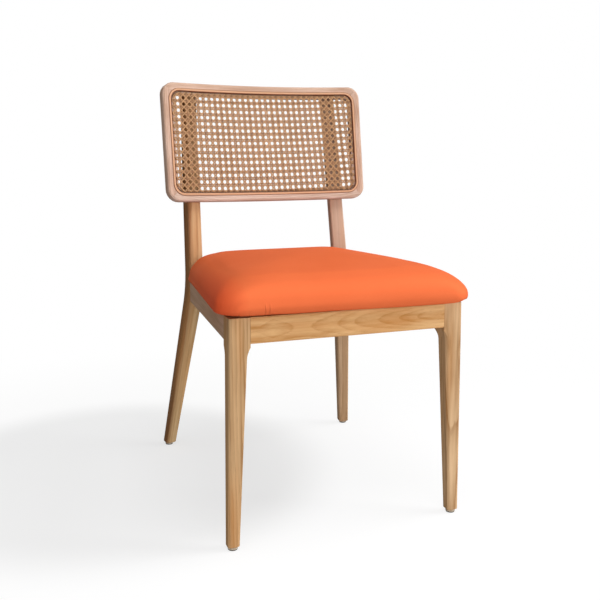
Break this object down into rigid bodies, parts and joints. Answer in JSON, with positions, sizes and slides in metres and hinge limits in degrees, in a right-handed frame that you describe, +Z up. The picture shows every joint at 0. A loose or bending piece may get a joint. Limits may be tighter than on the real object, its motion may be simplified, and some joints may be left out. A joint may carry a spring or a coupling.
{
  "type": "dining chair",
  "caption": "Wooden dining chair with a slightly bent cane back panel on raked rear posts, a domed upholstered seat pad and slim tapered legs.",
  "frame": {"origin": "on the floor under the middle of the chair's bounding box", "axes": "+Z up, the chair faces -Y, +X to the right in the picture's view of it, +Y towards its back"},
  "size_m": [0.477, 0.5824, 0.8223],
  "materials": {
    "ash_legs": "satin",
    "ash_back": "satin",
    "cane": "satin",
    "cane_spline": "satin",
    "orange_leather": "semi-matte",
    "foam": "matte",
    "plywood": "matte",
    "dust_cover": "matte",
    "screw_steel": "satin",
    "glide_plastic": "matte",
    "felt": "matte"
  },
  "bodies": {
    "root": {"front_leg_left": "ash_legs", "front_leg_right": "ash_legs", "rear_leg_left": "ash_legs", "rear_leg_right": "ash_legs", "front_rail": "ash_legs", "side_rail_left": "ash_legs", "side_rail_right": "ash_legs", "rear_rail": "ash_legs", "corner_block_front_left": "ash_legs", "corner_block_front_left_screw_a": "screw_steel", "corner_block_front_left_screw_b": "screw_steel", "corner_block_front_right": "ash_legs", "corner_block_front_right_screw_a": "screw_steel", "corner_block_front_right_screw_b": "screw_steel", "corner_block_rear_left": "ash_legs", "corner_block_rear_left_screw_a": "screw_steel", "corner_block_rear_left_screw_b": "screw_steel", "corner_block_rear_right": "ash_legs", "corner_block_rear_right_screw_a": "screw_steel", "corner_block_rear_right_screw_b": "screw_steel", "seat_board": "plywood", "seat_foam": "foam", "seat_cover": "orange_leather", "dust_cover": "dust_cover", "seat_screw_front_left": "screw_steel", "seat_screw_front_right": "screw_steel", "seat_screw_rear_left": "screw_steel", "seat_screw_rear_right": "screw_steel", "back_top_rail": "ash_back", "back_bottom_rail": "ash_back", "back_stile_left": "ash_back", "back_stile_right": "ash_back", "back_dowel_top_right": "ash_legs", "back_dowel_top_left": "ash_legs", "back_dowel_bottom_left": "ash_legs", "back_dowel_bottom_right": "ash_legs", "cane_web": "cane", "cane_spline": "cane_spline", "screw_plug_lower_left": "ash_legs", "panel_screw_lower_left": "screw_steel", "screw_plug_lower_right": "ash_legs", "panel_screw_lower_right": "screw_steel", "screw_plug_upper_left": "ash_legs", "panel_screw_upper_left": "screw_steel", "screw_plug_upper_right": "ash_legs", "panel_screw_upper_right": "screw_steel", "glide_front_left": "glide_plastic", "felt_pad_front_left": "felt", "glide_front_right": "glide_plastic", "felt_pad_front_right": "felt", "glide_rear_left": "glide_plastic", "felt_pad_rear_left": "felt", "glide_rear_right": "glide_plastic", "felt_pad_rear_right": "felt"}
  },
  "joints": []
}
